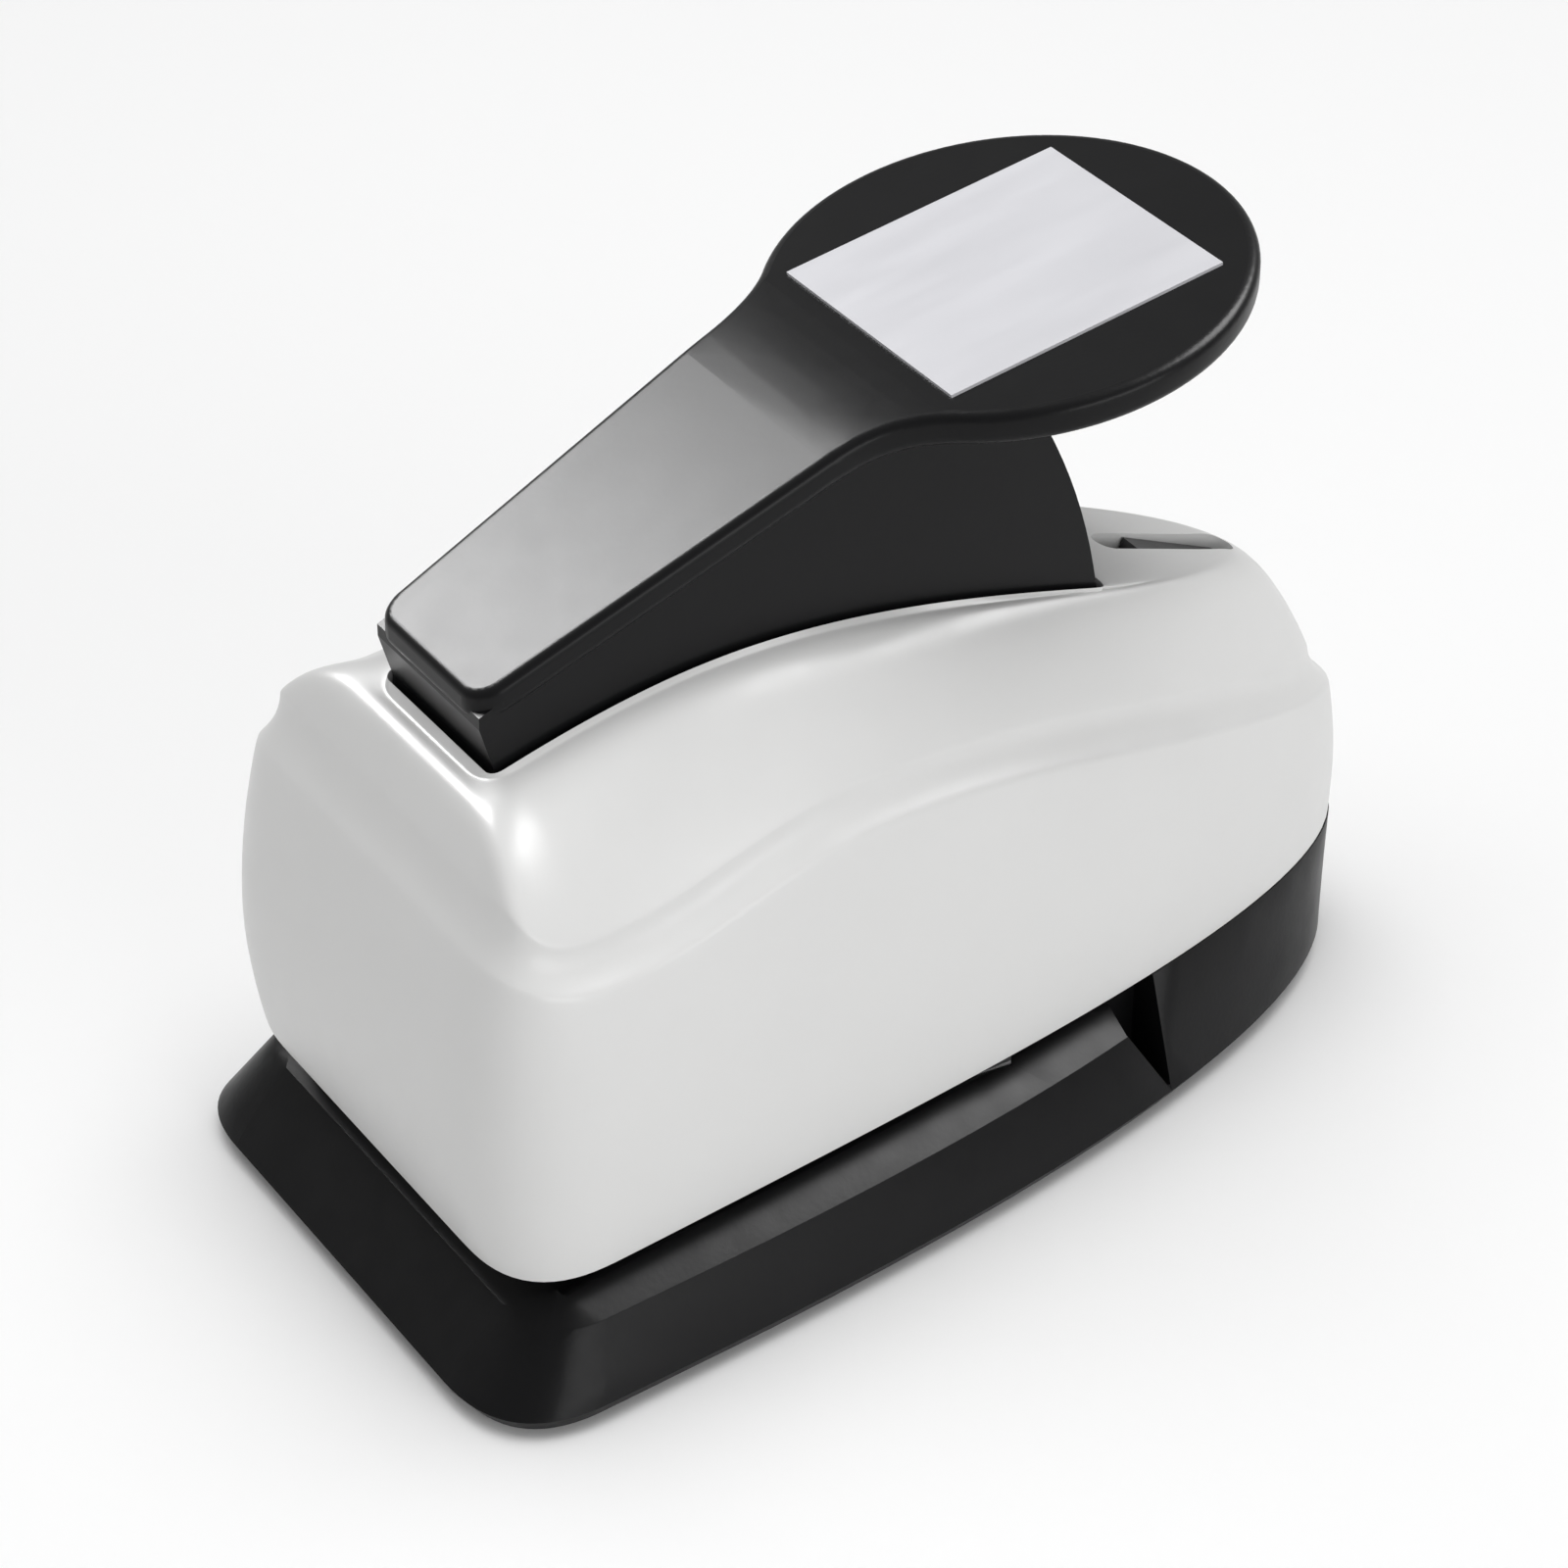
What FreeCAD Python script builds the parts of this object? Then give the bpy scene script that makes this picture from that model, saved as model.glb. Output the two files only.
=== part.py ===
import FreeCAD, Part
import math
import os
import Sketcher
from FreeCAD import Placement, Rotation, Vector

# Corner rounder: a hand punch that rounds the corners of cards and paper.
#
# Frame: +Z up, the paper goes in from -Y, the long way is Y and the machine is symmetric about X = 0.
# The origin is the centre of the footprint's box, at the surface that the machine stands on. Millimetres.

doc = FreeCAD.newDocument("corner_rounder")
sheet = doc.addObject("Spreadsheet::Sheet", "Sizes")

SIZES = {
    # base and rear block
    "base_front": -55.5, "base_tip": 54.2, "base_half": 30.3, "base_swell": 10.4, "base_tail": 3.0,
    "base_corner": 11.0, "base_rim_z": 2.0, "base_rim_in": 1.4, "ridge_z": 8.5, "ridge_in": 3.2,
    "ridge_setback": 2.7, "ridge_corner": 7.0, "cavity_setback": 1.6,
    "deck_z": 10.6, "deck_in": 3.6, "block_front": 22.8, "notch_in": 3.4, "notch_z": 2.6, "base_wall": 2.4,
    "floor_z": 5.6, "cover_z": 0.4, "cover_thick": 1.6, "notch_run": 3.8, "notch_lean": 0.3,
    "guard_width": 16.0, "step_half": 14.0, "chute_half": 10.0, "chute_front": -21.0, "chute_back": -2.0,
    "post_radius": 3.0,
    # housing
    "shell_front": -51.2, "shell_tip": 55.5, "shell_half": 26.6, "shell_swell": 2.1, "shell_tail": 6.0,
    "shell_corner": 9.5, "shell_z": 13.35, "shell_wall": 2.2, "wall_lean": 0.9, "wall_barrel": 1.6,
    "bevel_in": 2.3, "bevel_rise": 3.7, "crest_y": -14.0, "crest_z": 45.9, "dip_y": -38.0, "dip_depth": 3.6,
    "front_lift": 2.6, "roof_crest_y": -18.0, "roof_crest_z": 59.4, "roof_front": -43.8, "roof_tip": 40.5,
    "roof_half": 10.0, "roof_swell": 3.3, "roof_tail": 10.0, "roof_corner": 4.0, "roof_crown": 0.5,
    "crown_power": 3.0, "bevel_cove": 0.45, "front_rise": 1.5, "mouth_gap": 0.6,
    "mouth_front": -42.9, "mouth_corner": 1.0,
    "mouth_back_z": 51.5, "slope_round": 30.0, "crease_fall": 0.40, "roof_fall_back": 0.37,
    "roof_fall_front": 0.45, "boss_radius": 3.1, "boss_tall": 12.0,
    # lever
    "pivot_y": -39.4, "pivot_z": 43.0, "lever_front": -43.8, "lever_front_z": 63.2,
    "strip_angle": 23.2, "strip_half": 8.8, "neck_half": 11.6, "disc_y": 15.66, "disc_z": 82.77,
    "disc_radius": 22.0, "disc_angle": 8.79, "neck_blend": 14.0, "plate_thick": 3.2, "plate_round": 1.0,
    "skirt_half": 8.7, "skirt_wall": 1.8, "skirt_reach": 60.6, "skirt_bottom": 44.5, "ear_radius": 4.5,
    "label_width": 25.6, "label_front": -14.9, "label_back": 13.9, "label_thick": 0.3,
    # cutting set
    "die_half": 18.0, "die_front": -34.0, "die_back": 6.0, "die_z": 7.8, "die_thick": 3.0,
    "fence_thick": 2.4, "fence_back": 6.0, "apex_y": -11.0, "corner_round": 10.0, "blade_half": 8.0,
    "blade_back": -4.0, "blade_z": 13.4, "blade_top": 31.0, "blade_slack": 0.05, "fence_slack": 0.2,
    "guide_half": 16.0, "guide_front": -45.0, "guide_back": 4.5, "guide_thick": 11.8,
    "shank_radius": 5.5, "shank_top": 42.0, "plunger_y": -11.6,
    "cap_flange_z": 39.5, "cap_flange": 13.5, "cap_flange_thick": 2.0, "cap_hub": 6.4, "cap_top": 46.0,
    "spring_mean": 12.5, "spring_wire": 0.7, "spring_turns": 4.0,
    "seat_thick": 0.6, "seat_inner": 11.4, "seat_outer": 14.0,
    # bracket and pins
    "bracket_half": 12.6, "bracket_sheet": 2.5, "bracket_front": -44.6, "bracket_back": -26.6,
    "bracket_ear": 4.2, "pin_radius": 2.0, "pin_overhang": 1.4, "clip_thick": 0.6, "clip_radius": 3.8,
    "push_radius": 2.0, "push_gap": 0.3, "running_slack": 0.05,
    # screws
    "screw_radius": 1.5, "screw_head": 2.8, "screw_head_tall": 2.2, "screw_slack": 0.1,
    "small_screw": 1.2, "small_head": 2.3, "small_head_tall": 1.0,
    # lock
    "lock_y": 35.4, "lock_angle": 24.0, "slot_half": 1.6, "slot_front": -9.3,
    "slot_back": 7.6, "lock_half": 1.4, "lock_front": -4.6, "lock_back": 7.2,
    "lock_top": -0.6, "lock_under": -5.2, "lock_flange": 2.4, "lock_leg": 1.8, "lock_leg_front": -6.1,
    "lock_screw_x": 4.3, "lock_screw_y": 1.0, "lock_screw": 0.8, "lock_screw_head": 1.4, "lock_plate_z": -7.3,
    "lock_plate_thick": 1.2, "lock_plate_half": 5.7,
}


def fill_sheet():
    for row, (alias, value) in enumerate(SIZES.items(), start=1):
        sheet.set(f"A{row}", alias)
        sheet.set(f"B{row}", str(value))
        sheet.setAlias(f"B{row}", alias)
    doc.recompute()
    return {alias: float(sheet.get(alias)) for alias in SIZES}


size = fill_sheet()


# ---------------------------------------------------------------- helpers for document objects

def bind(thing, **links):
    """Bind properties to sheet cells; in a formula each bare alias is written as {alias}."""
    for name, formula in links.items():
        text = str(formula)
        for alias in sorted(SIZES, key=len, reverse=True):
            text = text.replace("{" + alias + "}", "Sizes." + alias)
        thing.setExpression(name.replace("__", "."), text)
    return thing


def place(thing, x=0, y=0, z=0):
    return bind(thing, Placement__Base__x=x, Placement__Base__y=y, Placement__Base__z=z)


def box(name, length, width, height, x, y, z):
    thing = doc.addObject("Part::Box", name)
    bind(thing, Length=length, Width=width, Height=height)
    return place(thing, x, y, z)


def upright(name, radius, height, x, y, z):
    thing = doc.addObject("Part::Cylinder", name)
    bind(thing, Radius=radius, Height=height)
    return place(thing, x, y, z)


def crosswise(name, radius, length, y, z, x):
    """A cylinder along +X, starting at x."""
    thing = upright(name, radius, length, x, y, z)
    thing.Placement = Placement(Vector(), Rotation(Vector(0, 1, 0), 90))
    return place(thing, x, y, z)


def joined(name, things):
    if len(things) == 1:
        return things[0]
    thing = doc.addObject("Part::MultiFuse", name)
    thing.Shapes = things
    return thing


def cut(name, body, *tools):
    thing = doc.addObject("Part::Cut", name)
    thing.Base = body
    thing.Tool = joined(name + "_tools", list(tools))
    return thing


def common(name, first, second):
    thing = doc.addObject("Part::Common", name)
    thing.Base = first
    thing.Tool = second
    return thing


def feature(name, shape):
    thing = doc.addObject("Part::Feature", name)
    thing.Shape = shape
    return thing


nodes = {}


def node(name, thing):
    thing.Label = name
    nodes[name] = thing
    return thing


# ---------------------------------------------------------------- plan outlines

def half_width(y, front, tip, half, swell, tail):
    """Half of the body's width at y: nearly parallel at the front, a round tip at the back."""
    t = min(max((y - front) / (tip - front), 0.0), 1.0)
    return math.sqrt(1 - t) * (half + swell * t + tail * t * t)


def base_half(y):
    return half_width(y, size["base_front"], size["base_tip"], size["base_half"], size["base_swell"],
                      size["base_tail"])


def shell_half(y):
    return half_width(y, size["shell_front"], size["shell_tip"], size["shell_half"], size["shell_swell"],
                      size["shell_tail"])


def side_points(width_at, start, tip, inset, count=13):
    """Points down one side, from the front corner to the tip, closer together towards the tip."""
    points = []
    for i in range(count):
        y = tip - (tip - start) * (1 - i / (count - 1)) ** 2
        x = width_at(y)
        slope = (width_at(y + 0.01) - width_at(y - 0.01)) / 0.02 if i < count - 1 else -1e6
        length = math.hypot(1, slope)
        points.append(Vector(x - inset / length, y + inset * slope / length, 0))
    return points


def outline(width_at, front, tip, inset, corner, z, setback=0.0):
    """Closed plan outline: straight front, two rounded corners, one long curve round the tip."""
    front = front + setback
    front_y = front + inset
    corner = max(corner - inset, 0.6)
    side = [p for p in side_points(width_at, front + inset + corner, tip, inset) if p.x > 0.4]
    side.append(Vector(0, tip - inset, 0))
    right = [Vector(p.x, p.y, z) for p in side]
    left = [Vector(-p.x, p.y, z) for p in reversed(side[:-1])]
    curve = Part.BSplineCurve()
    lean = right[1] - right[0]
    curve.interpolate(Points=right + left, InitialTangent=lean, FinalTangent=Vector(lean.x, -lean.y, 0))
    start = right[0]
    knee = Vector(start.x - lean.x / lean.y * (start.y - front_y), front_y, z)
    toe = Vector(knee.x - corner, front_y, z)
    mirrored = [Vector(-p.x, p.y, p.z) for p in (start, knee, toe)]
    corner_right = Part.BezierCurve()
    corner_right.setPoles([toe, knee, start])
    corner_left = Part.BezierCurve()
    corner_left.setPoles([mirrored[0], mirrored[1], mirrored[2]])
    edges = [Part.makeLine(mirrored[2], toe), corner_right.toShape(), curve.toShape(), corner_left.toShape()]
    return Part.Wire(edges)


# ---------------------------------------------------------------- base

def base_level(inset, z, corner=None, setback=0.0):
    return outline(base_half, size["base_front"], size["base_tip"], inset,
                   size["base_corner"] if corner is None else corner, z, setback)


def shell_level(inset, z):
    return outline(shell_half, size["shell_front"], size["shell_tip"], inset, size["shell_corner"], z)


def base_blank():
    rim = size["base_rim_in"]
    ridge = size["ridge_in"]
    deck = ridge + size["deck_in"]
    front = Part.makeLoft([
        base_level(rim, 0),
        base_level(0, size["base_rim_z"]),
        base_level(ridge, size["ridge_z"], ridge + size["ridge_corner"], size["ridge_setback"]),
        base_level(deck, size["deck_z"], deck + 0.6, size["ridge_setback"]),
    ], True, True)
    block = Part.makeLoft([
        base_level(rim, 0),
        base_level(0, size["base_rim_z"]),
        shell_level(0, size["shell_z"]),
    ], True, True)
    behind = Part.makeBox(100, 100, 100, Vector(-50, size["block_front"], -1))
    return front.fuse(block.common(behind)).removeSplitter()


def notch_blank():
    """The wedge between the slanted end of each flank and the upright face of the rear block."""
    face = size["block_front"]
    top = face - size["notch_run"]
    profile = [(face - size["notch_lean"], size["notch_z"]), (face, size["notch_z"]),
               (face, size["shell_z"]), (top, size["shell_z"]), (top, size["ridge_z"] + 0.1)]
    points = [Vector(0, y, z) for y, z in profile]
    wedge = Part.Face(Part.makePolygon(points + points[:1])).extrude(Vector(40, 0, 0))
    inner = base_half(face) - size["ridge_in"] - size["notch_in"]
    right = wedge.copy()
    right.translate(Vector(inner, 0, 0))
    return right.fuse(right.mirror(Vector(), Vector(1, 0, 0)))


def cavity_level(inset, z):
    """An outline of the space under the base; it leans back at the front as the flank does."""
    wall = size["base_rim_in"] + size["base_wall"] + inset
    return base_level(wall, z, setback=size["cavity_setback"] * (z + 0.5) / (size["floor_z"] + 0.5))


DIE_SCREWS = [("12.5", "-17.5"), ("12.5", "0.8")]
SHELL_SCREWS = [("8", "40"), ("12.4", "28.5")]
COVER_SCREWS = [("19.5", "-44"), ("16", "14")]
BRACKET_SCREWS = [("5.4", "{bracket_back} - 3.2"), ("5.4", "{bracket_front} + 3.6")]


def both_sides(places):
    return [(sign + x, y) for x, y in places for sign in ("", "-")]


def rods(name, places, radius, low, high):
    """Upright cylinders at each place on both sides."""
    return joined(name, [upright(f"{name}_{i}", radius, f"({high}) - ({low})", x, y, low)
                         for i, (x, y) in enumerate(both_sides(places))])


def screws(name, places, radius, head, head_z, head_tall, tip_z):
    """Screws put in from below, driven up to tip_z, with pan heads under head_z."""
    made = []
    for i, (x, y) in enumerate(both_sides(places)):
        shank = upright(f"{name}_shank_{i}", radius, f"{tip_z} - ({head_z})", x, y, head_z)
        pan = upright(f"{name}_head_{i}", head, head_tall, x, y, f"({head_z}) - ({head_tall})")
        drive = box(f"{name}_drive_{i}", f"2 * ({head})", "0.5", "0.6",
                    f"{x} - ({head})", f"{y} - 0.25", f"({head_z}) - ({head_tall})")
        made.append(cut(f"{name}_screw_{i}", joined(f"{name}_body_{i}", [shank, pan]), drive))
    return node(name, joined(name + "_group", made))


def build_base():
    blank = feature("base_blank", base_blank())
    cavity = feature("base_cavity", Part.makeLoft([cavity_level(0, -0.5), cavity_level(0.6, size["floor_z"])],
                                                  True, True))
    posts = rods("cover_posts", COVER_SCREWS, "{post_radius}", "{cover_z} + {cover_thick}",
                 "{floor_z} + 0.5")
    guard_in = base_half(size["block_front"]) - size["ridge_in"] - size["notch_in"] - size["base_wall"]
    guards = []
    for side, left in (("right", guard_in), ("left", -guard_in - size["guard_width"])):
        guards.append(box(f"notch_guard_{side}", "{guard_width}",
                          "{notch_run} + {notch_lean} + 2 * {base_wall}",
                          "{floor_z} + 0.5 - {cover_z} - {cover_thick}", left,
                          "{block_front} - {notch_run} - {notch_lean} - {base_wall}",
                          "{cover_z} + {cover_thick}"))
    hollow = cut("base_hollow", cavity, posts, *guards)
    recess = box("die_recess", "2 * {die_half} + 0.2", "{die_back} - {die_front} + 0.2", "9",
                 "-{die_half} - 0.1", "{die_front} - 0.1", "{die_z}")
    chute = box("base_chute", "2 * {chute_half}", "{chute_back} - {chute_front}", "{die_z} + 4",
                "-{chute_half}", "{chute_front}", "-1")
    die_holes = rods("base_die_holes", DIE_SCREWS, "{screw_radius} + {screw_slack}", "1", "{die_z} + 1")
    shell_holes = rods("base_shell_holes", SHELL_SCREWS, "{screw_radius} + {screw_slack}", "1",
                       "{shell_z} + 1")
    cover_holes = rods("base_cover_holes", COVER_SCREWS, "{small_screw}", "1", "{floor_z} - 0.4")
    notches = feature("base_notches", notch_blank())
    step = box("base_step", "2 * {step_half}", "{block_front} - {fence_back} + 1", "{shell_z} - {die_z}",
               "-{step_half}", "{fence_back} + 0.2", "{die_z}")
    sinks = rods("base_shell_sinks", SHELL_SCREWS, "{screw_head} + 2 * {screw_slack}", "1", "{floor_z}")
    node("base", cut("base_cut", joined("base_solid", [blank, step]), hollow, recess, chute, die_holes,
                     shell_holes, sinks, cover_holes, notches))


def build_cover():
    low = size["cover_z"]
    high = low + size["cover_thick"]
    levels = [cavity_level(0.25, low), cavity_level(0.55, high)]
    plate = feature("cover_plate", Part.makeLoft(levels, True, True))
    chute = box("cover_chute", "2 * {chute_half}", "{chute_back} - {chute_front}", "{die_z} + 4",
                "-{chute_half}", "{chute_front}", "-1")
    holes = rods("cover_holes", COVER_SCREWS, "{small_screw} + {screw_slack}", "-1", "3")
    sinks = rods("cover_sinks", COVER_SCREWS, "{small_head} + {screw_slack}", "-1",
                 "{cover_z} + {small_head_tall}")
    node("bottom_cover", cut("cover_cut", plate, chute, holes, sinks))
    screws("cover_screws", COVER_SCREWS, "{small_screw}", "{small_head}", "{cover_z} + {small_head_tall}",
           "{small_head_tall}", "{floor_z} - 0.6")


# ---------------------------------------------------------------- cutting set

def plane_of(body, role):
    return [item for item in body.Origin.OriginFeatures if item.Role == role][0]


def body_with_sketch(name, edges):
    body = doc.addObject("PartDesign::Body", name + "_body")
    sketch = body.newObject("Sketcher::SketchObject", name + "_sketch")
    sketch.AttachmentSupport = [(plane_of(body, "XY_Plane"), "")]
    sketch.MapMode = "FlatFace"
    sketch.addGeometry(edges, False)
    return body, sketch


def pad(body, sketch, length, low):
    made = body.newObject("PartDesign::Pad", sketch.Name + "_pad")
    made.Profile = sketch
    bind(made, Length=length)
    bind(sketch, AttachmentOffset__Base__z=low)
    doc.recompute()
    return made


def pocket(body, name, edges, depth, top):
    """Cut a sketched outline down from the height top by depth."""
    sketch = body.newObject("Sketcher::SketchObject", name + "_sketch")
    sketch.AttachmentSupport = [(plane_of(body, "XY_Plane"), "")]
    sketch.MapMode = "FlatFace"
    sketch.addGeometry(edges, False)
    bind(sketch, AttachmentOffset__Base__z=top)
    before = body.Shape.Volume
    made = body.newObject("PartDesign::Pocket", name)
    made.Profile = sketch
    bind(made, Length=depth)
    doc.recompute()
    if not body.Shape.Volume < before - 1:
        raise RuntimeError(name + " cut nothing")
    return made


def polygon(points):
    ring = [Vector(x, y, 0) for x, y in points]
    return [Part.LineSegment(a, b) for a, b in zip(ring, ring[1:] + ring[:1])]


def rectangle(half, front, back):
    return polygon([(-half, front), (half, front), (half, back), (-half, back)])


def circle(x, y, radius):
    return Part.Circle(Vector(x, y, 0), Vector(0, 0, 1), radius)


def blade_outline(slack):
    """The cutter's section: a hollow front edge of the card's corner radius and a square back."""
    radius = size["corner_round"] - slack
    centre_y = size["apex_y"] - size["corner_round"] * math.sqrt(2)
    half = size["blade_half"] + slack
    back = size["blade_back"] + slack
    edge_y = centre_y + math.sqrt(radius ** 2 - half ** 2)
    angle = math.acos(half / radius)
    front = Part.ArcOfCircle(Part.Circle(Vector(0, centre_y, 0), Vector(0, 0, 1), radius),
                             angle, math.pi - angle)
    corners = [Vector(-half, edge_y, 0), Vector(-half, back, 0), Vector(half, back, 0),
               Vector(half, edge_y, 0)]
    return [front] + [Part.LineSegment(a, b) for a, b in zip(corners, corners[1:])]


def hole_circles(places, radius):
    return [circle(float(x), float(y), radius) for x, y in both_sides(places)]


DOWELS = [("13", "-8.2")]


def build_cutting_set():
    through = size["screw_radius"] + size["screw_slack"]
    dowel = size["screw_radius"]
    fence_z = "{die_z} + {die_thick}"
    guide_z = "{die_z} + {die_thick} + {fence_thick}"

    body, sketch = body_with_sketch("die_plate", rectangle(size["die_half"], size["die_front"],
                                                           size["die_back"]))
    pad(body, sketch, "{die_thick}", "{die_z}")
    pocket(body, "die_hole", blade_outline(size["blade_slack"]), "{die_thick}", fence_z)
    pocket(body, "die_screw_holes", hole_circles(DIE_SCREWS, through), "{die_thick}", fence_z)
    pocket(body, "die_dowel_holes", hole_circles(DOWELS, dowel), "{die_thick}", fence_z)
    node("die_plate", body)

    half = size["die_half"]
    apex = size["apex_y"]
    vee = polygon([(half, apex - half), (half, size["fence_back"]), (-half, size["fence_back"]),
                   (-half, apex - half), (0, apex)])
    body, sketch = body_with_sketch("corner_fence", vee)
    pad(body, sketch, "{fence_thick}", fence_z)
    pocket(body, "fence_opening", blade_outline(size["fence_slack"]), "{fence_thick}", guide_z)
    pocket(body, "fence_screw_holes", hole_circles(DIE_SCREWS, through), "{fence_thick}", guide_z)
    pocket(body, "fence_dowel_holes", hole_circles(DOWELS, dowel), "{fence_thick}", guide_z)
    node("corner_fence", body)

    top = guide_z + " + {guide_thick}"
    bite = 8.5
    body, sketch = body_with_sketch("guide_block", rectangle(size["guide_half"], size["guide_front"],
                                                             size["guide_back"]))
    pad(body, sketch, "{guide_thick}", guide_z)
    pocket(body, "guide_bore", blade_outline(size["blade_slack"]), "{guide_thick}", top)
    pocket(body, "guide_screw_holes", hole_circles(DIE_SCREWS, size["screw_radius"]), str(bite),
           guide_z + f" + {bite}")
    pocket(body, "guide_dowel_holes", hole_circles(DOWELS, dowel), "6", guide_z + " + 6")
    bracket_places = [(x, str(size["bracket_back"] - 3.2 if i == 0 else size["bracket_front"] + 3.6))
                      for i, (x, _) in enumerate(BRACKET_SCREWS)]
    pocket(body, "guide_bracket_holes", hole_circles(bracket_places, size["screw_radius"]), "7", top)
    node("guide_block", body)

    screws("die_screws", DIE_SCREWS, "{screw_radius}", "{screw_head}", "{floor_z}", "{screw_head_tall}",
           f"({guide_z} + {bite - 0.5})")
    node("dowel_pins", rods("dowel_pins_pair", DOWELS, "{screw_radius}", "{die_z}", guide_z + " + 6"))


def build_cutter():
    body, sketch = body_with_sketch("cutter_blade", blade_outline(0))
    pad(body, sketch, "{blade_top} - {blade_z}", "{blade_z}")
    shank = upright("cutter_shank", "{shank_radius}", "{shank_top} - {blade_top}", "0", "{plunger_y}",
                    "{blade_top}")
    tapped = upright("cutter_tapping", "{screw_radius}", "9", "0", "{plunger_y}", "{shank_top} - 8")
    node("corner_cutter", cut("cutter_cut", joined("cutter_joined", [body, shank]), tapped))

    flange = upright("cap_flange_disc", "{cap_flange}", "{cap_flange_thick}", "0", "{plunger_y}",
                     "{cap_flange_z}")
    hub = upright("cap_hub_post", "{cap_hub}", "{cap_top} - {cap_flange_z}", "0", "{plunger_y}",
                  "{cap_flange_z}")
    socket = upright("cap_socket", "{shank_radius}", "{shank_top} - {cap_flange_z} + 1", "0", "{plunger_y}",
                     "{cap_flange_z} - 1")
    drill = upright("cap_drill", "{screw_radius} + {screw_slack}", "9", "0", "{plunger_y}", "{cap_flange_z}")
    sink = upright("cap_sink", "{screw_head} + 0.3", "4", "0", "{plunger_y}", "{cap_top} - 2.6")
    node("plunger_cap", cut("cap_cut", joined("cap_joined", [flange, hub]), socket, drill, sink))

    shank = upright("cap_screw_shank", "{screw_radius}", "{cap_top} - 2.6 - {shank_top} + 7.5", "0",
                    "{plunger_y}", "{shank_top} - 7.5")
    head = upright("cap_screw_head", "{screw_head}", "{screw_head_tall}", "0", "{plunger_y}",
                   "{cap_top} - 2.6")
    slot = box("cap_screw_slot", "2 * {screw_head}", "0.6", "0.7", "-{screw_head}", "{plunger_y} - 0.3",
               "{cap_top} - 2.6 + {screw_head_tall} - 0.7")
    node("cap_screw", cut("cap_screw_cut", joined("cap_screw_joined", [shank, head]), slot))


def build_spring():
    seat_z = "{die_z} + {die_thick} + {fence_thick} + {guide_thick}"
    ring = upright("seat_disc", "{seat_outer}", "{seat_thick}", "0", "{plunger_y}", seat_z)
    hole = upright("seat_hole", "{seat_inner}", "3", "0", "{plunger_y}", seat_z + " - 1")
    node("spring_seat", cut("seat_cut", ring, hole))

    helix = doc.addObject("Part::Helix", "spring_helix")
    coil = "({cap_flange_z} - (" + seat_z + ") - {seat_thick} - 2 * {spring_wire})"
    bind(helix, Height=coil, Pitch=coil + " / {spring_turns}", Radius="{spring_mean}")
    section = doc.addObject("Part::Circle", "spring_section")
    bind(section, Radius="{spring_wire}")
    section.Placement = Placement(Vector(), Rotation(Vector(1, 0, 0), 90))
    place(section, "{spring_mean}", "0", "0")
    coils = doc.addObject("Part::Sweep", "spring_coils")
    coils.Sections = [section]
    coils.Spine = (helix, [])
    coils.Solid = True
    coils.Frenet = True
    place(coils, "0", "{plunger_y}", seat_z + " + {seat_thick} + {spring_wire}")
    node("return_spring", coils)


# ---------------------------------------------------------------- bracket and pivot

def build_bracket():
    floor = "{die_z} + {die_thick} + {fence_thick} + {guide_thick}"
    depth = "{bracket_back} - {bracket_front}"
    foot = box("bracket_foot", "2 * {bracket_half}", depth, "{bracket_sheet}", "-{bracket_half}",
               "{bracket_front}", floor)
    ears = []
    for side, x in (("left", "-{bracket_half}"), ("right", "{bracket_half} - {bracket_sheet}")):
        wall = box(f"bracket_wall_{side}", "{bracket_sheet}", "2 * {bracket_ear}",
                   "{pivot_z} - (" + floor + ")", x, "{pivot_y} - {bracket_ear}", floor)
        skirt = box(f"bracket_skirt_{side}", "{bracket_sheet}", depth, "6", x, "{bracket_front}", floor)
        crown = crosswise(f"bracket_crown_{side}", "{bracket_ear}", "{bracket_sheet}", "{pivot_y}",
                          "{pivot_z}", x)
        ears += [wall, skirt, crown]
    bore = crosswise("bracket_bore", "{pin_radius} + 0.02", "4 * {bracket_half}", "{pivot_y}", "{pivot_z}",
                     "-2 * {bracket_half}")
    holes = rods("bracket_holes", BRACKET_SCREWS, "{screw_radius} + {screw_slack}", "20", "40")
    node("lever_bracket", cut("bracket_cut", joined("bracket_joined", [foot] + ears), bore, holes))

    made = []
    head_z = "(" + floor + " + {bracket_sheet})"
    for i, (x, y) in enumerate(both_sides(BRACKET_SCREWS)):
        shank = upright(f"bracket_shank_{i}", "{screw_radius}", "{bracket_sheet} + 6.5", x, y,
                        floor + " - 6.5")
        pan = upright(f"bracket_head_{i}", "{screw_head}", "{screw_head_tall}", x, y, head_z)
        drive = box(f"bracket_drive_{i}", "2 * {screw_head}", "0.6", "0.7", f"{x} - {{screw_head}}",
                    f"{y} - 0.3", head_z + " + {screw_head_tall} - 0.7")
        made.append(cut(f"bracket_screw_{i}", joined(f"bracket_screw_body_{i}", [shank, pan]), drive))
    node("bracket_screws", joined("bracket_screws_group", made))


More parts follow.
